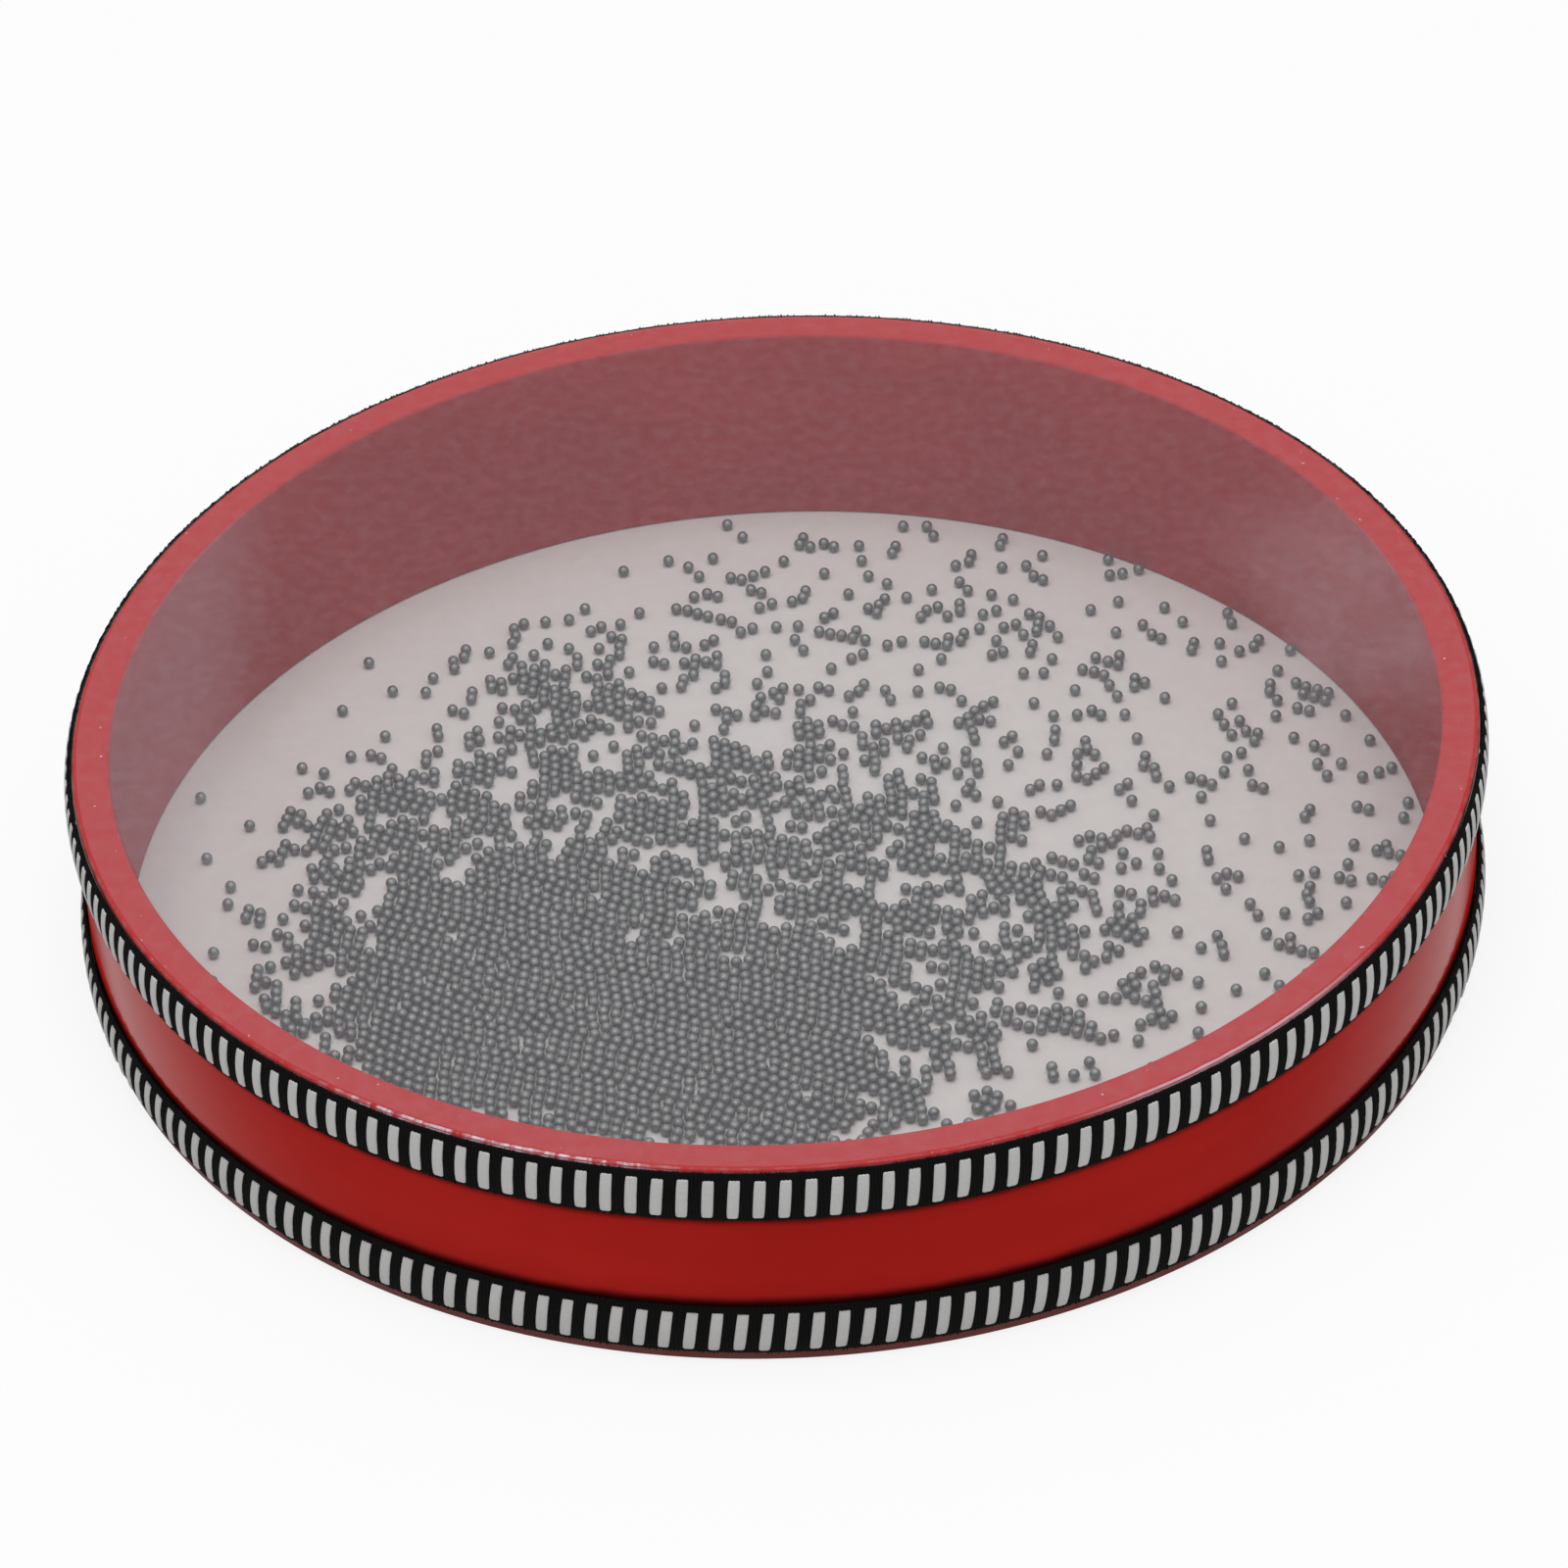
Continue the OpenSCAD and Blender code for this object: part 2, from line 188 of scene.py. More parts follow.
class StageSettings(PropertyGroup):
    """The camera, the lamp, the sky and the floor."""

    lens: FloatProperty(name="Lens", description="Focal length in mm", default=164.1, min=1)
    lamp_power: FloatProperty(
        name="Lamp", description="Power of the soft lamp", default=26, unit="POWER"
    )
    lamp_height: length_prop("Lamp height", "Height of the soft lamp", 2.2)
    lamp_size: length_prop("Lamp size", "Side of the soft lamp", 1.6)
    sky: FloatProperty(name="Sky", description="Strength of the even light", default=0.52, min=0)
    floor: colour_prop("Floor", "Colour of the floor", (0.93, 0.93, 0.93))
    floor_size: length_prop("Floor size", "Side of the floor", 14.0)
    floor_glow: share_prop("Floor glow", "How near to plain white the floor looks", 0.85)


SETTINGS = {
    "drum_shell": ShellSettings,
    "drum_film": FilmSettings,
    "drum_braid": BraidSettings,
    "drum_shot": ShotSettings,
    "drum_stage": StageSettings,
}


# Shader maths


class Term:
    """A shader socket in an expression. Maths on it adds the Math nodes."""

    def __init__(self, finish, socket):
        self.finish = finish
        self.socket = socket

    def maths(self, operation, *values):
        return self.finish.add(
            "ShaderNodeMath", {"operation": operation}, dict(enumerate(values))
        )

    def __add__(self, other):
        return self.maths("ADD", self, other)

    def __sub__(self, other):
        return self.maths("SUBTRACT", self, other)

    def __rsub__(self, other):
        return self.maths("SUBTRACT", other, self)

    def __mul__(self, other):
        return self.maths("MULTIPLY", self, other)


class Finish:
    """A material in the making, on the piece's Object coordinates."""

    def __init__(self, name, **fixed):
        self.material = bpy.data.materials.new(name)
        self.material.use_nodes = True
        self.tree = self.material.node_tree
        self.shader = self.tree.nodes["Principled BSDF"]
        for socket, value in fixed.items():
            self.shader.inputs[socket.replace("_", " ")].default_value = value
        self.place = self.add("ShaderNodeTexCoord", {}, {}, "Object")

    def add(self, kind, settings, values, output=0):
        """Adds a node: its settings first, then its sockets' values or links."""
        node = self.tree.nodes.new(kind)
        for name, value in settings.items():
            setattr(node, name, value)
        for name, value in values.items():
            if isinstance(value, Term):
                self.tree.links.new(value.socket, node.inputs[name])
            else:
                node.inputs[name].default_value = value
        return Term(self, node.outputs[output])

    def drive(self, **links):
        """Links expressions to the shader's sockets."""
        for socket, term in links.items():
            self.tree.links.new(term.socket, self.shader.inputs[socket.replace("_", " ")])

    def noise(self, scale, detail=2.0, roughness=0.5, place=None):
        """Cloudy noise from 0 to 1, with its features 1 / scale metres apart."""
        values = {
            "Vector": place or self.place,
            "Scale": scale,
            "Detail": detail,
            "Roughness": roughness,
        }
        return self.add("ShaderNodeTexNoise", {}, values)

    def band(self, value, low, high, start=0.0, end=1.0):
        """Moves a value smoothly from start to end as it goes from low to high."""
        values = {"Value": value, "From Min": low, "From Max": high, "To Min": start, "To Max": end}
        return self.add("ShaderNodeMapRange", {"interpolation_type": "SMOOTHSTEP"}, values)

    def hump(self, value, places):
        """Rises from 0 to 1 over the first two places, and falls back over the others."""
        return self.band(value, *places[:2]) * self.band(value, *places[2:], 1, 0)

    def uneven(self, scale, detail, low, high):
        """A cloudy value from low to high."""
        return self.band(self.noise(scale, detail), *CLOUDY, low, high)

    def mix(self, share, first, second):
        """Mixes two colours."""
        first, second = (c if isinstance(c, Term) else (*c, 1) for c in (first, second))
        return self.add(
            "ShaderNodeMix", {"data_type": "RGBA"}, {0: share, 6: first, 7: second}, 2
        )

    def bump(self, height, distance, strength=1.0):
        """Turns a height into the slope of the surface, with its depth in metres."""
        values = {"Height": height, "Distance": distance, "Strength": strength}
        self.drive(Normal=self.add("ShaderNodeBump", {}, values))

    def larger(self, first, second):
        """The larger of two values."""
        return self.add("ShaderNodeMath", {"operation": "MAXIMUM"}, {0: first, 1: second})

    def axis(self, letter):
        """One coordinate of the place on the piece."""
        return self.add("ShaderNodeSeparateXYZ", {}, {0: self.place}, letter)

    def radius(self):
        """Distance from the drum's axis."""
        flat = self.add(
            "ShaderNodeVectorMath", {"operation": "MULTIPLY"}, {0: self.place, 1: (1, 1, 0)}
        )
        return self.add("ShaderNodeVectorMath", {"operation": "LENGTH"}, {0: flat}, "Value")

    def turn(self):
        """Angle round the drum's axis, in radians from -pi to pi."""
        return self.add(
            "ShaderNodeMath", {"operation": "ARCTAN2"}, {0: self.axis("Y"), 1: self.axis("X")}
        )


# Finishes

# The middle part of a cloudy noise, where most of its values lie
CLOUDY = (0.3, 0.7)
PATCHY = (0.36, 0.64)

# Places on the lacquer in millimetres. Up from the shell's upper edge: where the colour
# of that edge begins and is full. Out from its face: what counts as outside. Up from a
# braid's edge: where the painted shade along it begins and ends, and how ragged it is
EDGE_MM = (-1.4, -0.4)
OUTSIDE_MM = (-2, -1)
LOW_SHADE_MM = (-0.4, 2.3)
HIGH_SHADE_MM = (-1.9, 0.4)
HIGH_SHADE_END_MM = (4, 6)
RAGGED_MM = 0.8

# How strongly the outside mirrors the pale floor, by how far aslant it is seen: from and
# to which slant, and how strongly there. Near the very edge that fades again
MIRROR = (0.42, 0.80, 0.12, 0.52)
MIRROR_END = (0.80, 0.92, 1.0, 0.15)

# Places in millimetres out from the clear film's face: its fold, and the crease on it.
# Out from the shell's face: the rim that has specks, and where the extra veil near the rim ends
FOLD_MM = (-1.7, -1.1)
CREASE_MM = (-1.05, -0.80, -0.40, -0.20)
SPECKED_MM = (-9, -6)
RIM_VEIL_END_MM = (-8.5, -7.5)

# Shares of the shell's radius where the extra veil near the rim begins, outwards and to the left
RIM_VEIL_SHARES = (0.70, 0.80)
LEFT_RIM_VEIL_SHARES = (-0.70, -0.84)

# Angles round the drum's axis, in radians, where the crease carries a painted highlight and where
# the film veils more near its rim:
# in full between the middle two, and not at all outside the outer two
LEFT_SHINE = (-2.28, -2.14, -1.84, -1.70)
RIGHT_SHINE = (-1.24, -1.04, -0.86, -0.60)
RIGHT_RIM_VEIL = (-0.15, 0.10, 0.32, 0.64)

# Millimetres out from the shell's face, where the white film turns into its folded edge
WHITE_EDGE_MM = (-1.6, -0.4)


def beyond(base, millimetres):
    """Places some millimetres beyond a base, in metres."""
    return [base + length * MM for length in millimetres]


def shaded(colour, share):
    """A share of a colour."""
    return tuple(share * part for part in colour)


def lacquer_finish(settings):
    """Red gloss lacquer, a little thicker here and there, with painted shade along the braids."""
    finish = Finish("red_lacquer", Coat_Roughness=0.12, Specular_IOR_Level=0.0)
    height = finish.axis("Z")
    drawn_out = finish.add(
        "ShaderNodeMapping", {}, {"Vector": finish.place, "Scale": (1, 1, 14)}
    )
    layers = finish.noise(22, 3) * 0.6 + finish.noise(9, 3, place=drawn_out) * 0.4
    red = finish.mix(finish.band(layers, *PATCHY), settings.red, settings.deep_red)
    edge = finish.band(height, *beyond(SHELL_HIGH, EDGE_MM))
    red = finish.mix(edge, red, settings.edge_red)
    outside = finish.band(finish.radius(), *beyond(SHELL_R, OUTSIDE_MM))
    ragged = finish.noise(160, 3) * (RAGGED_MM * MM)
    # Painted shade: darker just above the lower braid and just under the upper one, where the
    # braids meet the lacquer
    low_painted_shade = finish.band(height - ragged, *beyond(LOWER_TAPE_HIGH, LOW_SHADE_MM), 1, 0)
    high_painted_shade = finish.band(height + ragged, *beyond(UPPER_TAPE_LOW, HIGH_SHADE_MM))
    # Behind the braid the painted shade ends, and the upper edge is left unshaded
    painted_shade_end = finish.band(height, *beyond(UPPER_TAPE_LOW, HIGH_SHADE_END_MM), 1, 0)
    painted_shade = finish.larger(low_painted_shade, high_painted_shade * painted_shade_end * 0.8) * outside
    aslant = finish.add("ShaderNodeLayerWeight", {}, {"Blend": 0.5}, "Facing")
    mirror = finish.band(aslant, *MIRROR) * finish.band(aslant, *MIRROR_END)
    finish.drive(
        Base_Color=finish.mix(painted_shade * 0.9, red, settings.painted_shade),
        Roughness=finish.uneven(70, 3, 0.42, 0.52),
        Coat_Weight=mirror * outside * (1.0 - painted_shade),
    )
    finish.bump(finish.noise(180, 1), 0.05 * MM, 0.08)
    return finish.material


def clear_film_finish(settings):
    """Clear film: a faint veil, with a painted highlight on its creases where it folds over the
    edge.
    """
    finish = Finish("clear_film", Specular_IOR_Level=0.5, Base_Color=(*settings.clear, 1))
    radius = finish.radius()
    turn = finish.turn()
    around = finish.add("ShaderNodeCombineXYZ", {}, {"X": turn})
    # The fold hugs the shell's edge, so it veils nothing; only its creases carry the painted
    # highlight
    fold = finish.band(radius, *beyond(FILM_R, FOLD_MM))
    strokes = finish.band(finish.noise(40, 3, 0.6, around), 0.38, 0.56)
    fine = finish.band(finish.noise(420, 3, 0.6), 0.36, 0.56, 0.15, 1.0)
    # Painted highlight on the crease: faint all round, broken strokes at the front left, a soft
    # line at the front right
    left_shine = finish.hump(turn, LEFT_SHINE) * settings.left_shine + settings.fold_glint
    right_shine = finish.hump(turn, RIGHT_SHINE) * settings.right_shine
    painted_glint = finish.larger(left_shine * strokes * fine, right_shine)
    crease = finish.hump(radius, beyond(FILM_R, CREASE_MM)) * painted_glint
    rim = finish.band(radius, *beyond(SHELL_R, SPECKED_MM))
    specks = finish.band(finish.noise(760, 1), 0.78, 0.81) * rim * settings.specks
    dust = finish.band(finish.noise(300, 4, 0.7), 0.35, 0.75, -0.008, 0.010)
    # The film veils more near its rim, at the left and at the right
    inner = [share * SHELL_R for share in RIM_VEIL_SHARES]
    near_rim = finish.hump(radius, inner + beyond(SHELL_R, RIM_VEIL_END_MM))
    left = finish.band(finish.axis("X"), *(share * SHELL_R for share in LEFT_RIM_VEIL_SHARES))
    right = finish.hump(turn, RIGHT_RIM_VEIL)
    streaks = finish.band(finish.noise(60, 3, 0.6), 0.40, 0.66)
    right_veil = streaks * settings.streaks + settings.right_rim_veil
    rim_veil = near_rim * finish.larger(left * settings.left_rim_veil, right * right_veil)
    veil = (dust + rim_veil + settings.haze) * (1.0 - fold * 0.75)
    finish.drive(
        Alpha=finish.larger(crease, specks) + veil,
        Roughness=finish.uneven(30, 2, 0.10, 0.22),
    )
    return finish.material


def white_film_finish(settings):
    """White coated film, dull inside, with a red-brown folded edge outside."""
    finish = Finish("white_film", Specular_IOR_Level=0.12)
    edge = finish.band(finish.radius(), *beyond(SHELL_R, WHITE_EDGE_MM))
    clouds = finish.band(finish.noise(240, 4, 0.65), *CLOUDY)
    paper = finish.mix(clouds, settings.white, shaded(settings.white, 0.96))
    collar = finish.mix(finish.noise(90, 3), settings.collar, shaded(settings.collar, 0.5))
    finish.drive(
        Base_Color=finish.mix(edge, paper, collar),
        Roughness=finish.uneven(60, 3, 0.42, 0.58),
    )
    finish.bump(finish.noise(900, 2), 0.02 * MM, 0.4)
    return finish.material


def yarn_finish(name, colour, shade, fibre_scale):
    """Woven yarn: fine cross threads, with shade between them and uneven dye."""
    finish = Finish(name, Specular_IOR_Level=0.05)
    threads = finish.add(
        "ShaderNodeTexWave",
        {"bands_direction": "Z", "wave_profile": "SIN"},
        {"Vector": finish.place, "Scale": fibre_scale, "Distortion": 3.0, "Detail": 2.0},
    )
    fibres = finish.noise(1600, 3, 0.6)
    clouds = finish.noise(130, 2)
    share = finish.band(threads * 0.45 + fibres * 0.35 + clouds * 0.2, 0.30, 0.68)
    finish.drive(
        Base_Color=finish.mix(share, shaded(colour, shade), colour),
        Roughness=finish.band(fibres, *CLOUDY, 0.75, 0.92),
    )
    finish.bump(threads * 0.6 + fibres * 0.4, 0.12 * MM, 0.6)
    return finish.material


def steel_finish(settings):
    """Dull bare steel balls, some duller than others."""
    finish = Finish("shot_steel", Metallic=0.7)
    patches = finish.band(finish.noise(260, 2), *PATCHY)
    finish.drive(
        Base_Color=finish.mix(patches, settings.dark_steel, settings.steel),
        Roughness=finish.uneven(500, 2, 0.38, 0.50),
    )
    return finish.material


def adhesive_finish():
    """Clear adhesive film with small bubbles."""
    finish = Finish("adhesive", Specular_IOR_Level=0.5)
    bubbles = finish.band(finish.noise(600, 2), 0.55, 0.65)
    finish.drive(
        Base_Color=finish.mix(bubbles, (0.58, 0.52, 0.34), (0.78, 0.75, 0.62)),
        Roughness=finish.band(bubbles, 0, 1, 0.35, 0.6),
    )
    return finish.material


# Shapes


def turned_piece(name, outline, columns, shift=None):
    """A closed turned piece. Its outline is [radius, level] points, anticlockwise
    seen with the axis on the left, and shift moves its points afterwards."""
    turns = np.arange(columns) * 2 * math.pi / columns
    across = np.stack([np.cos(turns), np.sin(turns)], 1)
    points, rings = [], []
    for radius, level in outline:
        rings.append(len(points))
        if radius == 0:
            points.append((0.0, 0.0, level))
        else:
            points.extend((radius * x, radius * y, level) for x, y in across)
    faces = []
    pairs = list(zip(outline, rings))
    for (first, start), (second, end) in zip(pairs, pairs[1:] + pairs[:1]):
        for k in range(columns):
            here, after = k, (k + 1) % columns
            if first[0] and second[0]:
                faces.append((start + here, start + after, end + after, end + here))
            elif first[0]:
                faces.append((start + here, start + after, end))
            elif second[0]:
                faces.append((start, end + after, end + here))
    places = np.array(points, float)
    if shift:
        places = shift(places)
    mesh = bpy.data.meshes.new(name)
    mesh.from_pydata(places.tolist(), [], faces)
    return finished_piece(name, mesh)


def finished_piece(name, mesh, sharp=math.radians(40)):
    """An object at the origin with smooth faces and sharp corners."""
    mesh.validate()
    mesh.shade_smooth()
    mesh.set_sharp_from_angle(angle=sharp)
    piece = bpy.data.objects.new(name, mesh)
    bpy.context.scene.collection.objects.link(piece)
    return piece


def round_corner(outline, corner, radius, start, steps=4):
    """Adds a rounded corner to an outline: an arc about a middle point, from an
    angle in degrees, turning anticlockwise through a right angle."""
    for k in range(steps + 1):
        angle = math.radians(start + 90 * k / steps)
        outline.append((corner[0] + radius * math.cos(angle), corner[1] + radius * math.sin(angle)))


def dress(piece, material, body, *nodes):
    """Gives a piece its material and its body, and hides the CAD nodes that it stands for."""
    if material:
        piece.data.materials.clear()
        piece.data.materials.append(material)
    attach(piece, body)
    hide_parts(*nodes)
    return piece


# Geometry Nodes


class Growth:
    """A Geometry Nodes tree with named inputs that grows one piece."""

    def __init__(self, name, **sockets):
        self.tree = bpy.data.node_groups.new(name, "GeometryNodeTree")
        interface = self.tree.interface
        interface.new_socket("Geometry", in_out="INPUT", socket_type="NodeSocketGeometry")
        self.names = {}
        for label, kind in sockets.items():
            socket = interface.new_socket(label, in_out="INPUT", socket_type=kind)
            self.names[label] = socket.identifier
        interface.new_socket("Geometry", in_out="OUTPUT", socket_type="NodeSocketGeometry")
        self.inputs = self.tree.nodes.new("NodeGroupInput")
        self.outputs = self.tree.nodes.new("NodeGroupOutput")

    def add(self, kind, settings, values, output=0):
        """Adds a node and returns its output socket."""
        node = self.tree.nodes.new(kind)
        for name, value in settings.items():
            setattr(node, name, value)
        for name, value in values.items():
            if isinstance(value, bpy.types.NodeSocket):
                self.tree.links.new(value, node.inputs[name])
            else:
                node.inputs[name].default_value = value
        return node.outputs[output]

    def given(self, label):
        """The group's own input of that name."""
        return self.inputs.outputs[label]

    def end(self, geometry):
        """Realizes the instances, smooths them and gives them their material."""
        solid = self.add("GeometryNodeRealizeInstances", {}, {0: geometry})
        smooth = self.add("GeometryNodeSetShadeSmooth", {}, {0: solid})
        dressed = self.add(
            "GeometryNodeSetMaterial", {}, {"Geometry": smooth, "Material": self.given("Material")}
        )
        self.tree.links.new(dressed, self.outputs.inputs[0])

    def grow(self, name, seed_mesh, **values):
        """Runs the tree on a mesh and returns the plain piece that comes out."""
        seed_piece = bpy.data.objects.new(name + "_seed", seed_mesh)
        bpy.context.scene.collection.objects.link(seed_piece)
        modifier = seed_piece.modifiers.new(name, "NODES")
        modifier.node_group = self.tree
        for label, value in values.items():
            modifier[self.names[label]] = value
        view = bpy.context.evaluated_depsgraph_get()
        mesh = bpy.data.meshes.new_from_object(seed_piece.evaluated_get(view))
        seed_piece.modifiers.clear()
        bpy.data.objects.remove(seed_piece)
        mesh.name = name
        piece = bpy.data.objects.new(name, mesh)
        bpy.context.scene.collection.objects.link(piece)
        return piece


def ring_growth():
    """Copies of a template set round the drum's axis, facing outwards."""
    growth = Growth(
        "ring_of_yarn",
        Count="NodeSocketInt",
        Radius="NodeSocketFloat",
        Level="NodeSocketFloat",
        Unevenness="NodeSocketFloat",
        Tilt="NodeSocketFloat",
        Seed="NodeSocketInt",
        Material="NodeSocketMaterial",
    )
    given = growth.given
    circle = growth.add(
        "GeometryNodeMeshCircle", {}, {"Vertices": given("Count"), "Radius": given("Radius")}
    )
    lift = growth.add("ShaderNodeCombineXYZ", {}, {"Z": given("Level")})
    placed = growth.add(
        "GeometryNodeTransform", {}, {"Geometry": circle, "Translation": lift}
    )
    outwards = growth.add(
        "FunctionNodeAlignRotationToVector",
        {"axis": "X", "pivot_axis": "Z"},
        {"Vector": growth.add("GeometryNodeInputPosition", {}, {})},
    )
    lean = growth.add(
        "FunctionNodeRandomValue",
        {"data_type": "FLOAT"},
        {
            2: growth.add("ShaderNodeMath", {"operation": "MULTIPLY"}, {0: given("Tilt"), 1: -1.0}),
            3: given("Tilt"),
            "Seed": given("Seed"),
        },
        1,
    )
    tilted = growth.add(
        "FunctionNodeRotateRotation",
        {"rotation_space": "LOCAL"},
        {
            0: outwards,
            1: growth.add(
                "FunctionNodeEulerToRotation",
                {},
                {0: growth.add("ShaderNodeCombineXYZ", {}, {"X": lean})},
            ),
        },
    )
    less, more = (
        growth.add("ShaderNodeMath", {"operation": operation}, {0: 1.0, 1: given("Unevenness")})
        for operation in ("SUBTRACT", "ADD")
    )
    size = growth.add(
        "FunctionNodeRandomValue",
        {"data_type": "FLOAT_VECTOR"},
        {
            0: growth.add("ShaderNodeCombineXYZ", {}, {"X": 1.0, "Y": less, "Z": less}),
            1: growth.add("ShaderNodeCombineXYZ", {}, {"X": 1.0, "Y": more, "Z": more}),
            "Seed": given("Seed"),
        },
    )
    growth.end(
        growth.add(
            "GeometryNodeInstanceOnPoints",
            {},
            {
                "Points": placed,
                "Instance": given("Geometry"),
                "Rotation": tilted,
                "Scale": size,
            },
        )
    )
    return growth


def shot_growth():
    """A ball of steel shot at each point of a mesh."""
    growth = Growth(
        "shot_at_points",
        Radius="NodeSocketFloat",
        Seed="NodeSocketInt",
        Material="NodeSocketMaterial",
    )
    ball = growth.add(
        "GeometryNodeMeshIcoSphere", {}, {"Radius": growth.given("Radius"), "Subdivisions": 2}
    )
    roll = growth.add(
        "FunctionNodeRandomValue",
        {"data_type": "FLOAT_VECTOR"},
        {0: (0, 0, 0), 1: (math.tau, math.tau, math.tau), "Seed": growth.given("Seed")},
    )
    growth.end(
        growth.add(
            "GeometryNodeInstanceOnPoints",
            {},
            {
                "Points": growth.given("Geometry"),
                "Instance": ball,
                "Rotation": growth.add("FunctionNodeEulerToRotation", {}, {0: roll}),
            },
        )
    )
    return growth


# Pieces

# How roundly the films bend over the shell's edges, and where the rings of points near
# their rims lie: millimetres out from the shell's face and from the clear film's, and
# in from the white film's
FILM_BEND = 0.8 * MM
RIM_RINGS_MM = (-20, -8)
FOLD_RINGS_MM = (-5, -3, -1.6)
WHITE_RING_MM = 8

# The clear film's creases: how many waves of each length there are round the drum, over
# which last millimetres they rise and end, and how much of their height they reach
CREASE_WAVES = (37, 58, 83, 131, 167, 211)
CREASED_MM = 5
CREASE_RISE_MM = 3.4
CREASE_END_MM = 0.8
CREASE_REACH = 0.6


def make_shell():
    """The shell, with its four edges softened."""
    settings = bpy.context.scene.drum_shell
    inner = SHELL_R - settings.wall
    bevel = settings.bevel
    outline = []
    corners = (
        ((SHELL_R - bevel, SHELL_LOW + bevel), -90),
        ((SHELL_R - bevel, SHELL_HIGH - bevel), 0),
        ((inner + bevel, SHELL_HIGH - bevel), 90),
        ((inner + bevel, SHELL_LOW + bevel), 180),
    )
    for corner, start in corners:
        round_corner(outline, corner, bevel, start)
    piece = turned_piece("lacquered_shell", outline, settings.columns)
    dress(piece, lacquer_finish(settings), DRUM, "shell")


def creased(places):
    """Moves a film's points at its fold up and down, in small uneven creases."""
    settings = bpy.context.scene.drum_film
    rng = np.random.default_rng(7)
    radius = np.hypot(places[:, 0], places[:, 1])
    turn = np.arctan2(places[:, 1], places[:, 0])
    wave = np.zeros(len(places))
    phases = rng.uniform(0, math.tau, len(CREASE_WAVES))
    for count, phase in zip(CREASE_WAVES, phases):
        wave += np.sin(count * turn + phase) / len(CREASE_WAVES)
    near_fold = np.clip((radius - (FILM_R - CREASED_MM * MM)) / (CREASE_RISE_MM * MM), 0, 1)
    near_fold *= np.clip((FILM_R - radius) / (CREASE_END_MM * MM), 0, 1)
    places[:, 2] += settings.crease * np.abs(wave) * near_fold
    return places


def make_clear_film():
    """The clear upper film, folded over the shell's edge into its collar."""
    settings = bpy.context.scene.drum_film
    sheet = FILM_HIGH - SHELL_HIGH
    low = SHELL_HIGH + settings.lift
    high = FILM_HIGH - settings.crease * CREASE_REACH
    inner_r = FILM_R - sheet + settings.lift
    reaches = beyond(SHELL_R, RIM_RINGS_MM) + beyond(FILM_R, FOLD_RINGS_MM)
    outline = [(0, low)]
    outline += [(reach, low) for reach in reaches]
    outline += [(inner_r - FILM_BEND, low), (inner_r, low - FILM_BEND), (inner_r, FILM_LOW)]
    outline += [(FILM_R, FILM_LOW)]
    bend_middle = (FILM_R - FILM_BEND, high - FILM_BEND)
    round_corner(outline, bend_middle, FILM_BEND, start=0, steps=5)
    outline += [(reach, high) for reach in reversed(reaches)]
    outline += [(0, high)]
    piece = turned_piece("clear_film_head", outline, settings.columns, creased)
    dress(piece, clear_film_finish(settings), DRUM, "upper_head")


def make_white_film():
    """The white lower film, folded up the shell's side into its collar."""
    settings = bpy.context.scene.drum_film
    reach, low, high = node_span("lower_head")
    inner_r = reach - (SHELL_LOW - low)
    outline = [(0, low), (reach - WHITE_RING_MM * MM, low)]
    bend_middle = (reach - FILM_BEND, low + FILM_BEND)
    round_corner(outline, bend_middle, FILM_BEND, start=-90, steps=5)
    outline += [(reach, high), (inner_r, high), (inner_r, SHELL_LOW + FILM_BEND)]
    outline += [(inner_r - FILM_BEND, SHELL_LOW), (0, SHELL_LOW)]
    piece = turned_piece("white_film_head", outline, settings.columns // 2)
    dress(piece, white_film_finish(settings), DRUM, "lower_head")


def strip_mesh(name, outline_rows):
    """A mesh from rows of points, each row a closed loop, capped at both ends."""
    points = [point for row in outline_rows for point in row]
    across = len(outline_rows[0])
    faces = []
    for j, k in product(range(len(outline_rows) - 1), range(across)):
        here, there = j * across, (j + 1) * across
        after = (k + 1) % across
        faces.append((here + k, here + after, there + after, there + k))
    faces.append(tuple(reversed(range(across))))
    faces.append(tuple(range(len(points) - across, len(points))))
    mesh = bpy.data.meshes.new(name)
    mesh.from_pydata(points, [], faces)
    return mesh


def rib_template(width, rise, half_height, root, fall):
    """One upright rib of black yarn: a half round cord with tapered ends, bent over
    the tape's dome, which falls away by fall at its ends. It lies along Z, with its
    back at X = -root and its crest at X = rise."""
    taper, suddenness = 0.55, 12
    shoulder_rise, shoulder_side = 0.55, 0.38
    rows = []
    for share in (-1.0, -0.93, -0.62, -0.31, 0.0, 0.31, 0.62, 0.93, 1.0):
        full = 1.0 - taper * abs(share) ** suddenness
        out = -fall * share**2
        level = share * half_height
        rows.append([
            (out - root, -width / 2 * full, level),
            (out + rise * shoulder_rise * full, -width * shoulder_side * full, level),
            (out + rise * full, 0, level),
            (out + rise * shoulder_rise * full, width * shoulder_side * full, level),
            (out - root, width / 2 * full, level),
        ])
    return strip_mesh("rib_of_yarn", rows)


def bar_template(width, rise, half_height, root, fall, lean):
    """One white bar: a flat pad of yarn with soft edges, bent over the tape's dome,
    which falls away by fall at its ends, and leaning. It lies along Z, with its back
    at X = -root and its face at X = rise."""
    low_taper, high_taper, suddenness = 0.18, 0.12, 20
    shoulder_rise, flat = 0.5, 0.72
    rows = []
    for share in (-1.0, -0.95, -0.6, -0.2, 0.2, 0.6, 0.95, 1.0):
        full = 1.0 - (low_taper if share < 0 else high_taper) * abs(share) ** suddenness
        side = width / 2 * full
        out = -fall * share**2
        level = share * half_height
        aside = level * math.tan(lean)
        rows.append([
            (out - root, aside - side, level),
            (out + rise * shoulder_rise, aside - side, level),
            (out + rise, aside - side * flat, level),
            (out + rise, aside + side * flat, level),
            (out + rise * shoulder_rise, aside + side, level),
            (out - root, aside + side, level),
        ])
    return strip_mesh("bar_of_yarn", rows)


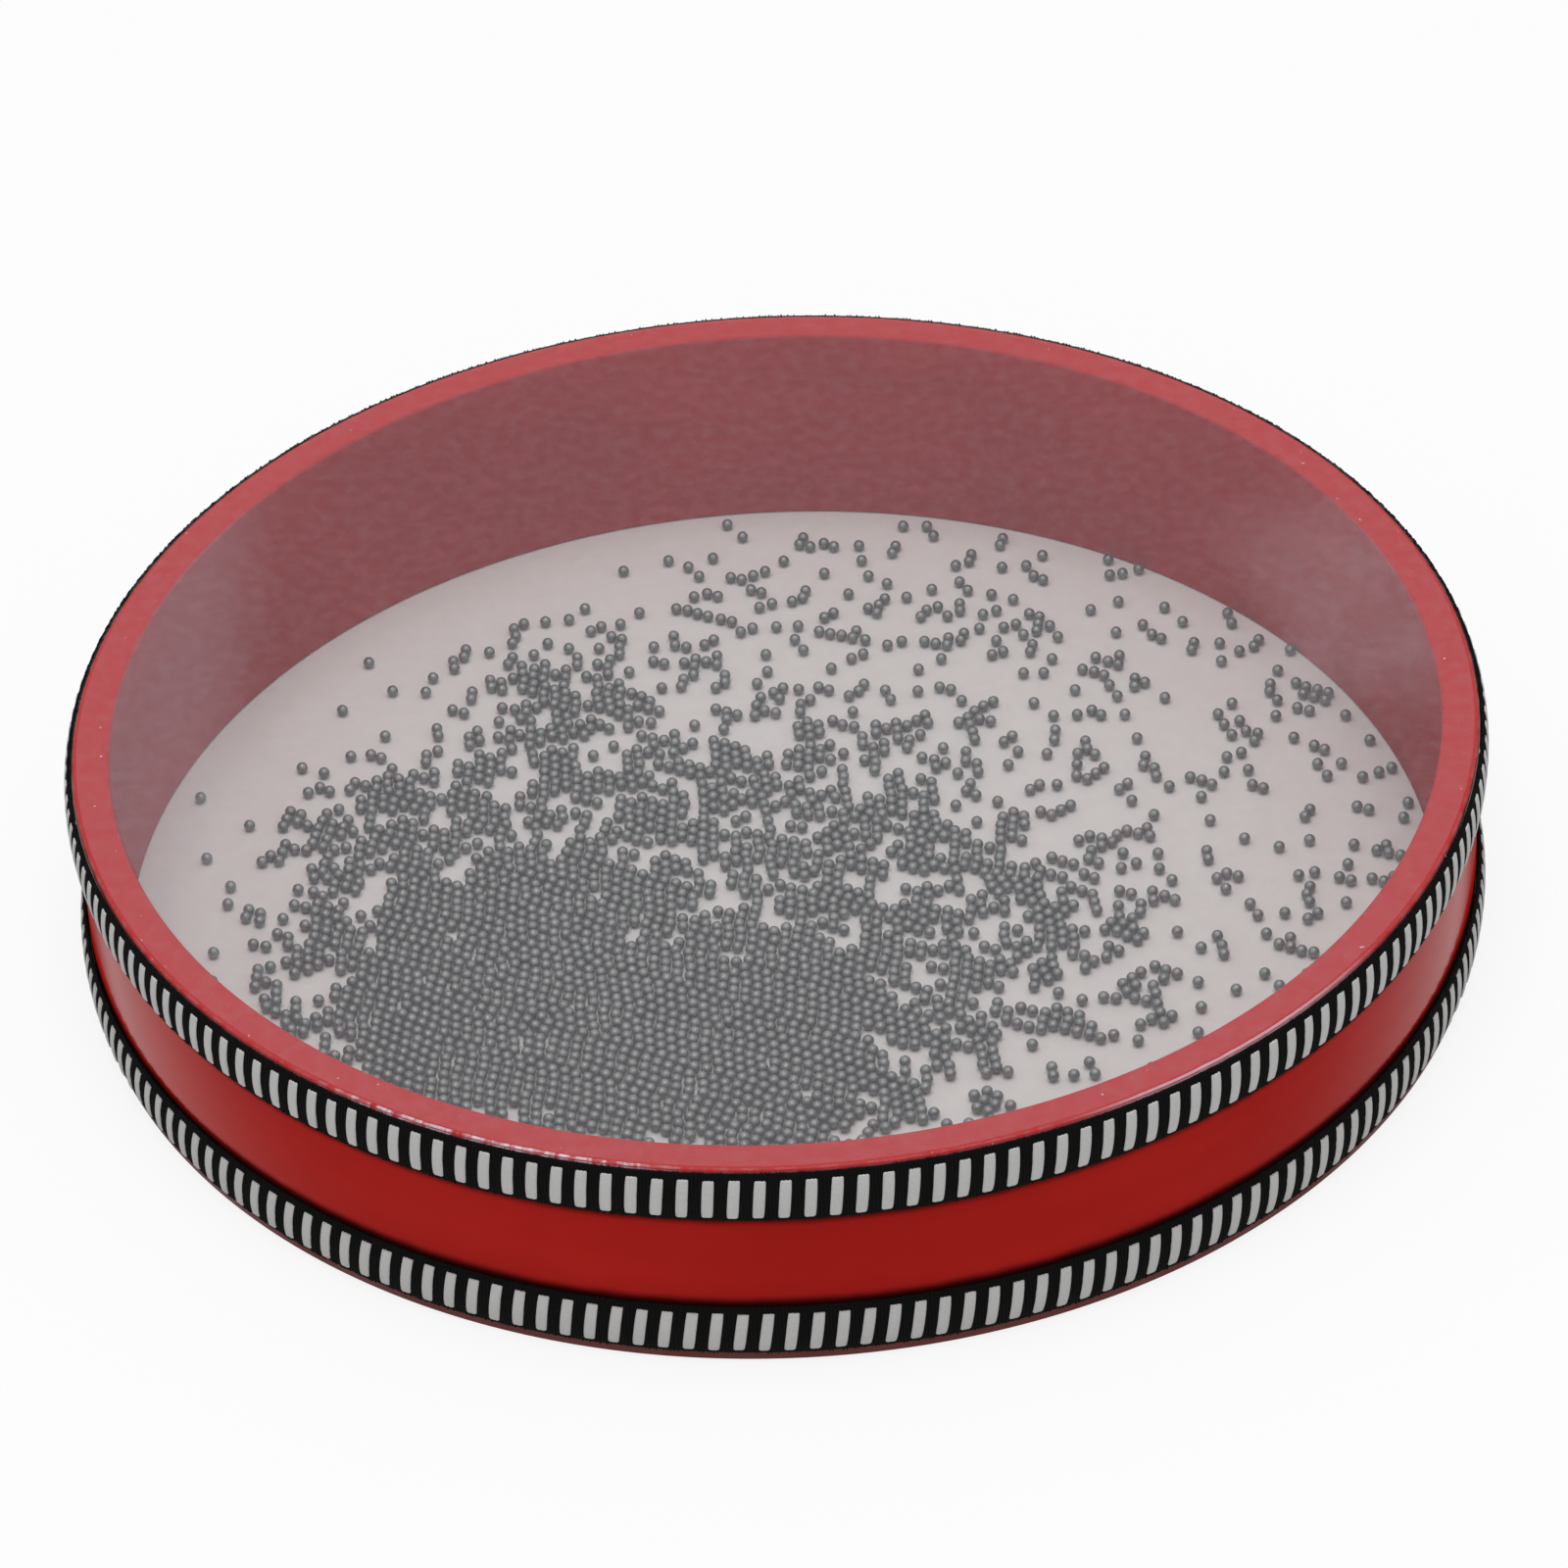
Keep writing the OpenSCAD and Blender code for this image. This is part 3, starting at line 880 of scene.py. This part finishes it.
def make_braid(growth, finishes, side, span, lean, seed):
    """One braid: a domed band of black ribs, and the white bars on it."""
    settings = bpy.context.scene.drum_braid
    black, white = finishes
    reach, low, high = span
    middle, half = (low + high) / 2, (high - low) / 2
    seat = reach - settings.thickness
    ground = reach - settings.rib_rise
    fall = settings.thickness - settings.edge
    inset, ribs_inset = 0.3 * MM, 0.15 * MM
    root, clearance = 0.3 * MM, 0.04 * MM
    outline = [(seat, high - inset), (seat, low + inset)]
    for step in np.linspace(-1, 1, 13):
        outline.append((ground - fall * step**2, middle + (half - inset) * step))
    backing = turned_piece(side + "_braid_backing", outline, 2 * settings.bars)
    dress(backing, black, DRUM, side + "_braid")
    rib_width = math.tau * reach / settings.ribs
    rib = rib_template(rib_width, settings.rib_rise, half - ribs_inset, root, fall)
    ribs = growth.grow(
        side + "_braid_ribs",
        rib,
        Count=settings.ribs,
        Radius=ground,
        Level=middle,
        Unevenness=0.035,
        Tilt=math.radians(0.6),
        Seed=seed,
        Material=black,
    )
    dress(ribs, None, DRUM, side + "_braid")
    bars_low, bars_high = node_span(side + "_braid_bars")[1:]
    bars_half = (bars_high - bars_low) / 2
    bars_rise = BARS_R - ground - clearance
    bars_fall = fall * (bars_half / half) ** 2
    bar = bar_template(settings.bar_width, bars_rise, bars_half, root, bars_fall, lean)
    bars = growth.grow(
        side + "_braid_white_bars",
        bar,
        Count=settings.bars,
        Radius=ground,
        Level=middle,
        Unevenness=0.018,
        Tilt=math.radians(0.7),
        Seed=seed + 1,
        Material=white,
    )
    dress(bars, None, DRUM, side + "_braid_bars")


def make_braids():
    """Both braids, each with its own lean and seed."""
    settings = bpy.context.scene.drum_braid
    growth = ring_growth()
    finishes = (
        yarn_finish("black_yarn", settings.black, shade=0.45, fibre_scale=900),
        yarn_finish("white_yarn", settings.white, shade=0.74, fibre_scale=1100),
    )
    upper = (UPPER_TAPE_R, UPPER_TAPE_LOW, UPPER_TAPE_HIGH)
    lower = (LOWER_TAPE_R, LOWER_TAPE_LOW, LOWER_TAPE_HIGH)
    make_braid(growth, finishes, "upper", upper, settings.upper_lean, seed=3)
    make_braid(growth, finishes, "lower", lower, settings.lower_lean, seed=13)


# How near the highest level a ball's top lies, and the grid that joins its points
TOP_MM = 0.001
GRID_MM = 0.05


def ball_middles(nodes):
    """The middles of the balls in some CAD nodes: each ball has one highest point."""
    middles = []
    for node in nodes:
        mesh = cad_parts[node].data
        places = np.empty(len(mesh.vertices) * 3, np.float32)
        mesh.vertices.foreach_get("co", places)
        places = places.reshape(-1, 3).astype(float)
        low, high = places[:, 2].min(), places[:, 2].max()
        tops = places[places[:, 2] > high - TOP_MM * MM][:, :2]
        tops = np.unique(np.round(tops / (GRID_MM * MM)).astype(int), axis=0) * GRID_MM * MM
        middles.extend((x, y, (low + high) / 2) for x, y in tops)
    return middles


def make_shot():
    """The steel shot, a piece for each group of balls."""
    growth = shot_growth()
    steel = steel_finish(bpy.context.scene.drum_shot)
    low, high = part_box("rim_shot")
    for seed, (name, (body, nodes)) in enumerate(SHOT_PIECES.items()):
        points = bpy.data.meshes.new(name)
        middles = ball_middles(nodes)
        points.from_pydata(middles, [], [])
        piece = growth.grow(
            name, points, Radius=(high.z - low.z) / 2, Seed=seed, Material=steel
        )
        print(name, len(middles), "balls")
        dress(piece, None, body, *nodes)


def make_adhesive():
    """The hidden adhesive bands stay as they are, with a finish of their own."""
    material = adhesive_finish()
    for node in ("upper_glue_band", "lower_glue_band"):
        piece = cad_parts[node]
        piece.data.materials.clear()
        piece.data.materials.append(material)


# Stage

# The camera as a circle fit of the drum's rims in the photograph gives it: the point
# that it looks at, its distance from there in metres, its elevation and its roll in
# radians, its sensor's width, and how many metres it sees
LOOK_AT = Vector((1.37 * MM, 40.8 * MM, -1.5 * MM))
CAMERA_DISTANCE = 1.590
CAMERA_ELEVATION = 0.6584
CAMERA_ROLL = -0.0505
SENSOR_WIDTH_MM = 36
FAR_CLIP = 100

# Where the lamp hangs, in metres across and along from the drum's axis
LAMP_ASIDE = (-0.05, -0.25)


def make_camera(settings):
    """The camera at the photograph's viewing angle."""
    back = Vector((0, -math.cos(CAMERA_ELEVATION), math.sin(CAMERA_ELEVATION)))
    right = Vector((1, 0, 0))
    up = right.cross(-back)
    turn_right = math.cos(CAMERA_ROLL) * right + math.sin(CAMERA_ROLL) * up
    turn_up = math.cos(CAMERA_ROLL) * up - math.sin(CAMERA_ROLL) * right
    data = bpy.data.cameras.new("photo_camera")
    data.lens = settings.lens
    data.sensor_width = SENSOR_WIDTH_MM
    data.clip_end = FAR_CLIP
    camera = bpy.data.objects.new("photo_camera", data)
    rotation = Matrix((turn_right, turn_up, back)).transposed()
    place = Matrix.Translation(LOOK_AT + back * CAMERA_DISTANCE)
    camera.matrix_world = place @ rotation.to_4x4()
    bpy.context.scene.collection.objects.link(camera)
    bpy.context.scene.camera = camera


def make_lamp(settings):
    """One large soft lamp above the drum."""
    data = bpy.data.lights.new("soft_lamp", "AREA")
    data.energy = settings.lamp_power
    data.size = settings.lamp_size
    lamp = bpy.data.objects.new("soft_lamp", data)
    lamp.location = (*LAMP_ASIDE, settings.lamp_height)
    lamp.rotation_euler = (-lamp.location).to_track_quat("-Z", "Y").to_euler()
    bpy.context.scene.collection.objects.link(lamp)


def showing(nodes, links):
    """A socket that is 1 for the rays that show the background: those from the
    camera, and those mirrored or let through by a piece."""
    path = nodes.new("ShaderNodeLightPath")
    socket = path.outputs["Is Camera Ray"]
    for kind in ("Is Glossy Ray", "Is Transmission Ray"):
        either = nodes.new("ShaderNodeMath")
        either.operation = "MAXIMUM"
        links.new(socket, either.inputs[0])
        links.new(path.outputs[kind], either.inputs[1])
        socket = either.outputs[0]
    return socket


def make_sky(settings):
    """Even light all round, white where it shows."""
    world = bpy.data.worlds.new("studio")
    world.use_nodes = True
    bpy.context.scene.world = world
    nodes, links = world.node_tree.nodes, world.node_tree.links
    background = nodes["Background"]
    background.inputs["Color"].default_value = (1, 1, 1, 1)
    strength = nodes.new("ShaderNodeMapRange")
    strength.inputs["To Min"].default_value = settings.sky
    links.new(showing(nodes, links), strength.inputs["Value"])
    links.new(strength.outputs["Result"], background.inputs["Strength"])


def make_floor(settings):
    """A plain pale floor under the drum, nearly white where it shows."""
    half = settings.floor_size / 2
    corners = [(-half, -half, 0), (half, -half, 0), (half, half, 0), (-half, half, 0)]
    mesh = bpy.data.meshes.new("floor")
    mesh.from_pydata(corners, [], [(0, 1, 2, 3)])
    floor = bpy.data.objects.new("floor", mesh)
    bpy.context.scene.collection.objects.link(floor)
    finish = Finish("pale_floor", Roughness=0.9, Specular_IOR_Level=0.0)
    finish.shader.inputs["Base Color"].default_value = (*settings.floor, 1)
    nodes, links = finish.tree.nodes, finish.tree.links
    glow = nodes.new("ShaderNodeEmission")
    share = nodes.new("ShaderNodeMath")
    share.operation = "MULTIPLY"
    share.inputs[1].default_value = settings.floor_glow
    links.new(showing(nodes, links), share.inputs[0])
    both = nodes.new("ShaderNodeMixShader")
    links.new(share.outputs[0], both.inputs[0])
    links.new(finish.shader.outputs[0], both.inputs[1])
    links.new(glow.outputs[0], both.inputs[2])
    links.new(both.outputs[0], nodes["Material Output"].inputs[0])
    mesh.materials.append(finish.material)


# Operators


class DRUM_OT_shell(Operator):
    """Build the lacquered wooden shell"""

    bl_idname = "drum.shell"
    bl_label = "Shell"

    def execute(self, context):
        make_shell()
        return {"FINISHED"}


class DRUM_OT_films(Operator):
    """Build the clear upper film and the white lower film"""

    bl_idname = "drum.films"
    bl_label = "Film heads"

    def execute(self, context):
        make_clear_film()
        make_white_film()
        return {"FINISHED"}


class DRUM_OT_braids(Operator):
    """Build the two woven braids"""

    bl_idname = "drum.braids"
    bl_label = "Braids"

    def execute(self, context):
        make_braids()
        return {"FINISHED"}


class DRUM_OT_shot(Operator):
    """Build the steel shot"""

    bl_idname = "drum.shot"
    bl_label = "Steel shot"

    def execute(self, context):
        make_shot()
        return {"FINISHED"}


class DRUM_OT_adhesive(Operator):
    """Dress the hidden adhesive bands"""

    bl_idname = "drum.adhesive"
    bl_label = "Adhesive bands"

    def execute(self, context):
        make_adhesive()
        return {"FINISHED"}


class DRUM_OT_stage(Operator):
    """Build the camera, the lamp, the sky and the floor"""

    bl_idname = "drum.stage"
    bl_label = "Stage"

    def execute(self, context):
        settings = context.scene.drum_stage
        context.scene.view_settings.view_transform = "Standard"
        make_camera(settings)
        make_lamp(settings)
        make_sky(settings)
        make_floor(settings)
        return {"FINISHED"}


OPERATORS = (
    DRUM_OT_shell,
    DRUM_OT_films,
    DRUM_OT_braids,
    DRUM_OT_shot,
    DRUM_OT_adhesive,
    DRUM_OT_stage,
)


class DRUM_PT_sidebar(Panel):
    """Lists the drum's pieces and their sizes"""

    bl_idname = "DRUM_PT_sidebar"
    bl_label = "Ocean drum"
    bl_space_type = "VIEW_3D"
    bl_region_type = "UI"
    bl_category = "Drum"

    def draw(self, context):
        for operator in OPERATORS:
            self.layout.operator(operator.bl_idname)
        for name, group in SETTINGS.items():
            box = self.layout.box()
            box.label(text=group.__doc__)
            for setting in group.__annotations__:
                box.prop(getattr(context.scene, name), setting)


CLASSES = (*SETTINGS.values(), *OPERATORS, DRUM_PT_sidebar)


def register():
    for cls in CLASSES:
        bpy.utils.register_class(cls)
    for name, group in SETTINGS.items():
        setattr(bpy.types.Scene, name, PointerProperty(type=group))


def unregister():
    for name in SETTINGS:
        delattr(bpy.types.Scene, name)
    for cls in reversed(CLASSES):
        bpy.utils.unregister_class(cls)


def main():
    register()
    bpy.ops.drum.stage()
    bpy.ops.drum.shell()
    bpy.ops.drum.films()
    bpy.ops.drum.braids()
    bpy.ops.drum.shot()
    bpy.ops.drum.adhesive()


if __name__ == "__main__":
    main()
